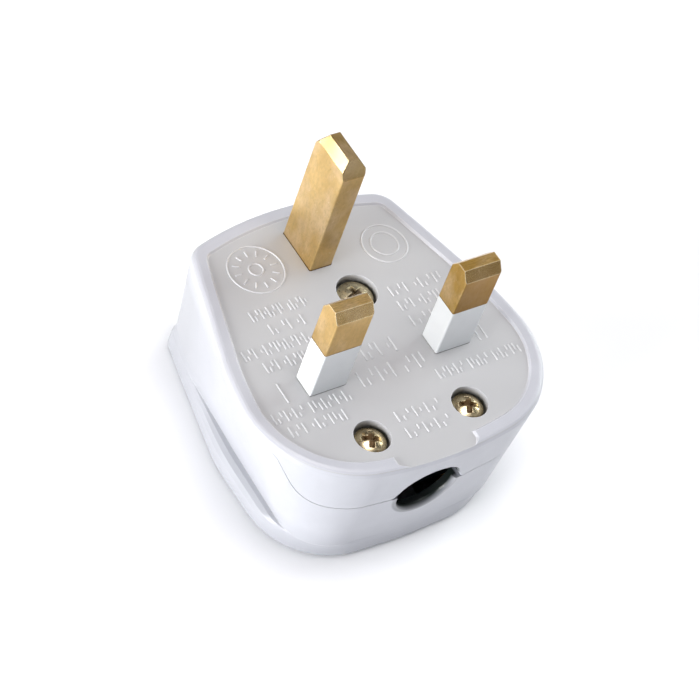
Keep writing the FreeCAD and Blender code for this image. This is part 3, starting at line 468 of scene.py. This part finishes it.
def milled_brass(name, light, roughness, front_shade, streak=(12, 1, 1), foot_z=panel_z, rim=WEAR_AND_HIGHLIGHT_BRASS):
    """Brass of the pins, with grain along them, painted shade on the front and where a pin leaves the
    panel or its sleeve, darker streaks on the tip, chamfers lightened by wear and painted highlight, and
    edges tinted with the rim colour as painted highlight, or darker on the earth pin.
    """
    paint = Paint(name)
    tint = tarnished(paint, light)
    _, facing_y, facing_z = paint.facing()
    front = paint.levels(facing_y, *FACES_FRONT)
    # Painted shade on the faces towards the front.
    tint = paint.mix(paint.times(front, front_shade), tint, BRASS_STAIN_AND_SHADE)
    # The flat tip is darker in streaks along the pin.
    tip = paint.levels(facing_z, *FACES_UP)
    streaks = paint.contrast(paint.noise(0.10, detail=2.0, stretch=streak), PATCH_SPREAD, *TIP_STREAK_DARKENING)
    tint = paint.mix(paint.times(tip, streaks), tint, BRASS_STAIN_AND_SHADE)
    chamfer = paint.maths("SUBTRACT", paint.levels(facing_z, *FACES_SLOPED), tip)
    # Chamfers lightened: wear and painted highlight.
    tint = paint.mix(paint.times(chamfer, CHAMFER_WEAR_AND_HIGHLIGHT), tint, WEAR_AND_HIGHLIGHT_BRASS)
    # Painted shade where the pin leaves the panel or its sleeve.
    foot = paint.below(foot_z + PIN_FOOT_SHADE_FROM, foot_z + PIN_FOOT_SHADE_TO)
    tint = paint.mix(paint.times(foot, PIN_FOOT_SHADE), tint, BRASS_STAIN_AND_SHADE)
    # Edges tinted with the rim colour: a painted highlight, or darker on the earth pin.
    edge = paint.edge_mask(round_mm=0.16)
    tint = paint.mix(paint.times(edge, EDGE_RIM_TINT), tint, rim)
    grain = paint.noise(0.07, detail=3.0, stretch=(1, 1, 14))
    rough = paint.uneven(grain, roughness, down=0.07, up=0.09)
    rough = paint.maths("SUBTRACT", rough, paint.times(chamfer, CHAMFER_POLISH))
    rough = paint.maths("SUBTRACT", rough, paint.times(edge, EDGE_POLISH))
    paint.set("Base Color", tint)
    paint.set("Metallic", paint.levels(edge, 0.0, 1.0, low=1.0, high=EDGE_METAL))
    paint.set("Roughness", rough)
    paint.bump(grain, depth_mm=0.003, strength=0.3, round_mm=0.16)
    return paint.material


# Screws

GOLD = (0.76, 0.63, 0.39)
DULL_GOLD = (0.74, 0.65, 0.43)
ORANGE_STAIN_AND_SHADE = (0.14, 0.07, 0.02)
BROWN_STAIN_AND_SHADE = (0.10, 0.06, 0.03)
SCREW_SHADE = 0.7
CROSS_REACH = (0.72, 0.82)      # shares of the head's radius where the painted shade in the cross ends
CROSS_SHADE_FROM = 0.30 * MM    # depths below the head's top
CROSS_SHADE_TO = 0.62 * MM
SKIRT_REACH = (1.2, 1.3)        # shares of the head's radius, past its edge
SKIRT_SHADE_FROM = 0.7 * MM
SKIRT_SHADE_TO = 1.0 * MM
BLOT_SPREAD = 0.1
STAIN_AND_SHADE_STRENGTH = 0.92
STAIN_AND_SHADE_METAL = 0.35
STAIN_AND_SHADE_ROUGHNESS = 0.3
SCREW_EDGE_HIGHLIGHT = 0.5


def screw_metal(name, node, light, stain_and_shade, blot_start, roughness):
    """A screw of plated brass, darkened in its cross and round its head as painted shade, and in blots of
    stain.
    """
    paint = Paint(name)
    centre, radius, top = screw_head(node)
    tint = paint.mix(paint.patches(0.7, detail=4.0), shade(light, SCREW_SHADE), light)
    # Painted shade in the cross and round the head, with stain in blots.
    in_cross = paint.times(
        paint.around(centre, *(radius * share for share in CROSS_REACH)),
        paint.below(top - CROSS_SHADE_FROM, top - CROSS_SHADE_TO),
    )
    round_head = paint.times(
        paint.around(centre, *(radius * share for share in SKIRT_REACH)),
        paint.below(top - SKIRT_SHADE_FROM, top - SKIRT_SHADE_TO),
    )
    blots = paint.spots(0.45, detail=5.0, start=blot_start, full=blot_start + BLOT_SPREAD)
    dirt_and_shade = paint.maths("MAXIMUM", paint.maths("MAXIMUM", in_cross, round_head), blots)
    dirt_and_shade = paint.times(dirt_and_shade, STAIN_AND_SHADE_STRENGTH)
    tint = paint.mix(dirt_and_shade, tint, stain_and_shade)
    # Painted highlight along the edges.
    tint = paint.mix(paint.times(paint.edge_mask(round_mm=0.08), SCREW_EDGE_HIGHLIGHT), tint, WEAR_AND_HIGHLIGHT_BRASS)
    grain = paint.noise(0.05, detail=2.0)
    rough = paint.uneven(grain, roughness, down=0.04, up=0.08)
    paint.set("Base Color", tint)
    paint.set("Metallic", paint.levels(dirt_and_shade, 0.0, 1.0, low=1.0, high=STAIN_AND_SHADE_METAL))
    paint.set("Roughness", paint.maths("ADD", rough, paint.times(dirt_and_shade, STAIN_AND_SHADE_ROUGHNESS)))
    paint.bump(grain, depth_mm=0.004, strength=0.6, round_mm=0.1)
    return paint.material


# Pieces inside

def turned_metal(name, light, dark, roughness):
    """Bright metal for screws, clips and caps, a little uneven."""
    paint = Paint(name)
    paint.set("Base Color", paint.mix(paint.patches(0.8, detail=4.0), dark, light))
    paint.set("Metallic", 1.0)
    grain = paint.noise(0.06, detail=2.0)
    paint.set("Roughness", paint.uneven(grain, roughness, down=0.05, up=0.08))
    paint.bump(grain, depth_mm=0.003, strength=0.5, round_mm=0.1)
    return paint.material


def dull_piece(name, light, dark, roughness, size_mm=0.4):
    """Fibre, ceramic or matt plastic with a fine grain."""
    paint = Paint(name)
    grain = paint.noise(size_mm, detail=4.0)
    paint.set("Base Color", paint.mix(paint.contrast(grain, PATCH_SPREAD), dark, light))
    paint.set("Roughness", roughness)
    paint.bump(grain, depth_mm=0.01, strength=0.5, round_mm=0.1)
    return paint.material


def slot_materials():
    """One material for each of the record's material slots."""
    return {
        "white_plastic": body_plastic("white_plastic"),
        "sleeve_plastic": plain_plastic(
            "sleeve_plastic", SLEEVE_COLOUR, SLEEVE_ROUGHNESS, SLEEVE_FOOT_SHADE
        ),
        "brass": milled_brass("brass", (0.74, 0.52, 0.21), roughness=0.45, front_shade=0.1),
        "screw_brass": turned_metal("screw_brass", (0.84, 0.72, 0.46), (0.6, 0.46, 0.26), 0.25),
        "clip_sheet": turned_metal("clip_sheet", (0.85, 0.68, 0.4), (0.7, 0.52, 0.28), 0.25),
        "cap_metal": turned_metal("cap_metal", (0.8, 0.8, 0.78), (0.66, 0.66, 0.64), 0.2),
        "ceramic_tube": dull_piece("ceramic_tube", (0.82, 0.8, 0.74), (0.74, 0.72, 0.66), 0.45),
        "element_wire": turned_metal("element_wire", (0.75, 0.75, 0.76), (0.6, 0.6, 0.62), 0.3),
        "grip_plastic": dull_piece("grip_plastic", (0.03, 0.035, 0.03), (0.015, 0.02, 0.018), 0.55),
        "red_fibre": dull_piece("red_fibre", (0.42, 0.09, 0.05), (0.3, 0.06, 0.035), 0.7, size_mm=0.2),
    }


def piece_materials():
    """The materials of the pieces that have their own tint, wear and painted shade."""
    pieces = {
        "earth_pin": milled_brass(
            "earth_brass", (0.78, 0.55, 0.235), roughness=0.40, front_shade=0.22,
            streak=(1, 12, 1), rim=DARK_RIM,
        ),
        "line_pin": milled_brass(
            "line_brass", (0.82, 0.57, 0.24), roughness=0.40, front_shade=0.18, foot_z=line_high.z
        ),
        "neutral_pin": milled_brass(
            "neutral_brass", (0.66, 0.42, 0.12), roughness=0.42, front_shade=0.72, foot_z=line_high.z
        ),
        "cover_screw": screw_metal(
            "cover_screw_metal", "cover_screw", DULL_GOLD, BROWN_STAIN_AND_SHADE, blot_start=0.58, roughness=0.38
        ),
    }
    for node in SCREWS[1:]:
        pieces[node] = screw_metal(
            node + "_metal", node, GOLD, ORANGE_STAIN_AND_SHADE, blot_start=0.62, roughness=0.24
        )
    return pieces


def paint_nodes():
    """Gives every construction piece its own material, or else that of its slot."""
    slots, pieces = slot_materials(), piece_materials()
    for part in frame["record"]["subparts"]:
        node = frame["nodes"][part["node"]]
        node.data.materials.clear()
        node.data.materials.append(pieces.get(part["node"]) or slots[part["material_slot"]])


# Raised marks on the panel: plain strokes and rings, moulded with it

MARK_COLOUR = (0.62, 0.62, 0.63)
MARK_ROUGHNESS = 0.35
MARK_RISE = 0.12
MARK_SINK = 0.05
MARK_WIDTH = 0.30
MARK_SLOPE = 0.08               # how far a mark's sides lean in
MARK_END_STEPS = 5
RING_STEPS = 72
STROKES_PER_UNIT = 2
ROWS = (
    # from x, to x, middle y, height, and the lengths of its groups of strokes
    (-15.2, -5.2, 13.7, 2.0, (5, 3)),
    (-13.7, -7.4, 10.7, 2.0, (1, 1, 1)),
    (-20.0, -8.4, 7.7, 2.0, (2, 7)),
    (-18.0, -9.4, 4.8, 2.0, (2, 4)),
    (-21.7, -8.2, -3.7, 2.0, (4, 5)),
    (-20.5, -10.6, -6.5, 2.0, (2, 4)),
    (7.4, 17.2, 10.6, 2.0, (2, 3)),
    (7.4, 15.2, 7.7, 2.0, (2, 3)),
    (7.4, 12.2, 4.7, 2.0, (2,)),
    (6.0, 21.2, -5.3, 2.0, (4, 3, 4)),
    (-3.0, 3.2, 2.0, 2.8, (2, 1)),
    (-6.0, 6.2, -2.0, 2.8, (3, 2)),
    (-4.4, 3.8, -9.8, 2.0, (4,)),
    (-4.4, 3.8, -12.8, 2.0, (4,)),
)
ROW_SPANS = (
    # how much of the row's height each stroke takes, from and to
    (0.0, 1.0), (0.0, 0.5), (0.5, 1.0), (0.0, 1.0), (0.32, 0.68), (0.0, 1.0),
    (0.0, 0.45), (0.55, 1.0), (0.0, 1.0), (0.3, 1.0), (0.0, 0.7),
)
RINGS = (
    # middle x, y and radius
    (-9.6, 21.3, 4.4),
    (-9.6, 21.3, 1.1),
    (12.0, 19.0, 3.6),
    (12.0, 19.0, 2.2),
)
DIAL_TICKS = 12                 # in the first ring
DIAL_TICK_FROM = 2.6
DIAL_TICK_TO = 3.5
BARS = (
    # middle x, y and length of single upright bars
    (-17.7, 0.0, 3.4),
    (16.1, -0.7, 2.8),
    (17.3, -0.7, 2.8),
)


def stroke_outline(start, end, half):
    """The rounded outline of a stroke, as points round it."""
    along = (end - start).normalized()
    heading = math.atan2(along.y, along.x)
    points = []
    for centre, turn in ((end, -math.pi / 2), (start, math.pi / 2)):
        for k in range(MARK_END_STEPS + 1):
            angle = heading + turn + math.pi * k / MARK_END_STEPS
            points.append(centre + half * Vector((math.cos(angle), math.sin(angle))))
    return points


def add_solid(mesh, rings):
    """A closed solid through rings of as many points, from its bottom to its top."""
    loops = [[mesh.verts.new(point) for point in ring] for ring in rings]
    count = len(loops[0])
    for lower, upper in zip(loops, loops[1:]):
        for k in range(count):
            after = (k + 1) % count
            mesh.faces.new((lower[k], lower[after], upper[after], upper[k]))
    mesh.faces.new(loops[-1])
    mesh.faces.new(loops[0][::-1])


def add_stroke(mesh, start, end):
    """A raised stroke between two points of the panel."""
    start, end = Vector(start), Vector(end)
    half = MARK_WIDTH / 2
    rings = []
    for reach, above in ((half, -MARK_SINK), (half, 0.0), (half - MARK_SLOPE, MARK_RISE)):
        rings.append([face_point(p.x, p.y, above) for p in stroke_outline(start, end, reach)])
    add_solid(mesh, rings)


def add_ring(mesh, x, y, radius):
    """A raised ring on the panel."""
    half = MARK_WIDTH / 2
    section = (
        (-half, -MARK_SINK), (-half, 0.0), (-half + MARK_SLOPE, MARK_RISE),
        (half - MARK_SLOPE, MARK_RISE), (half, 0.0), (half, -MARK_SINK),
    )
    loops = []
    for k in range(RING_STEPS):
        angle = 2 * math.pi * k / RING_STEPS
        across, along = math.cos(angle), math.sin(angle)
        loops.append([
            mesh.verts.new(face_point(x + (radius + out) * across, y + (radius + out) * along, above))
            for out, above in section
        ])
    for here, after in zip(loops, loops[1:] + loops[:1]):
        for j in range(len(section)):
            following = (j + 1) % len(section)
            mesh.faces.new((here[j], after[j], after[following], here[following]))


def add_row(mesh, x0, x1, y, height, groups):
    """A row of upright strokes of several lengths, in groups that fill the row."""
    places = sum(groups) * STROKES_PER_UNIT + len(groups) - 1
    step = (x1 - x0) / places
    place, count = 0, 0
    for group in groups:
        for _ in range(group * STROKES_PER_UNIT):
            low, high = ROW_SPANS[count % len(ROW_SPANS)]
            x, bottom = x0 + (place + 0.5) * step, y - height / 2
            start = bottom + low * height + MARK_WIDTH / 2
            add_stroke(mesh, (x, start), (x, bottom + high * height - MARK_WIDTH / 2))
            place += 1
            count += 1
        place += 1


def add_dial(mesh):
    """The ticks inside the first ring."""
    x, y, _ = RINGS[0]
    for k in range(DIAL_TICKS):
        angle = 2 * math.pi * k / DIAL_TICKS
        across, along = math.cos(angle), math.sin(angle)
        start = (x + DIAL_TICK_FROM * across, y + DIAL_TICK_FROM * along)
        add_stroke(mesh, start, (x + DIAL_TICK_TO * across, y + DIAL_TICK_TO * along))


def make_marks():
    """All the raised marks, as one piece that rides on the plug."""
    mesh = bmesh.new()
    for row in ROWS:
        add_row(mesh, *row)
    for ring in RINGS:
        add_ring(mesh, *ring)
    add_dial(mesh)
    for x, y, length in BARS:
        add_stroke(mesh, (x, y - length / 2), (x, y + length / 2))
    bmesh.ops.recalc_face_normals(mesh, faces=mesh.faces)
    data = bpy.data.meshes.new("panel_marks")
    mesh.to_mesh(data)
    mesh.free()
    marks = bpy.data.objects.new("panel_marks", data)
    bpy.context.scene.collection.objects.link(marks)
    data.materials.append(plain_plastic("mark_plastic", MARK_COLOUR, MARK_ROUGHNESS))
    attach(marks, "root")


def main():
    """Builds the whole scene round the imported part."""
    make_camera()
    make_lights()
    make_floor()
    paint_nodes()
    make_marks()


main()
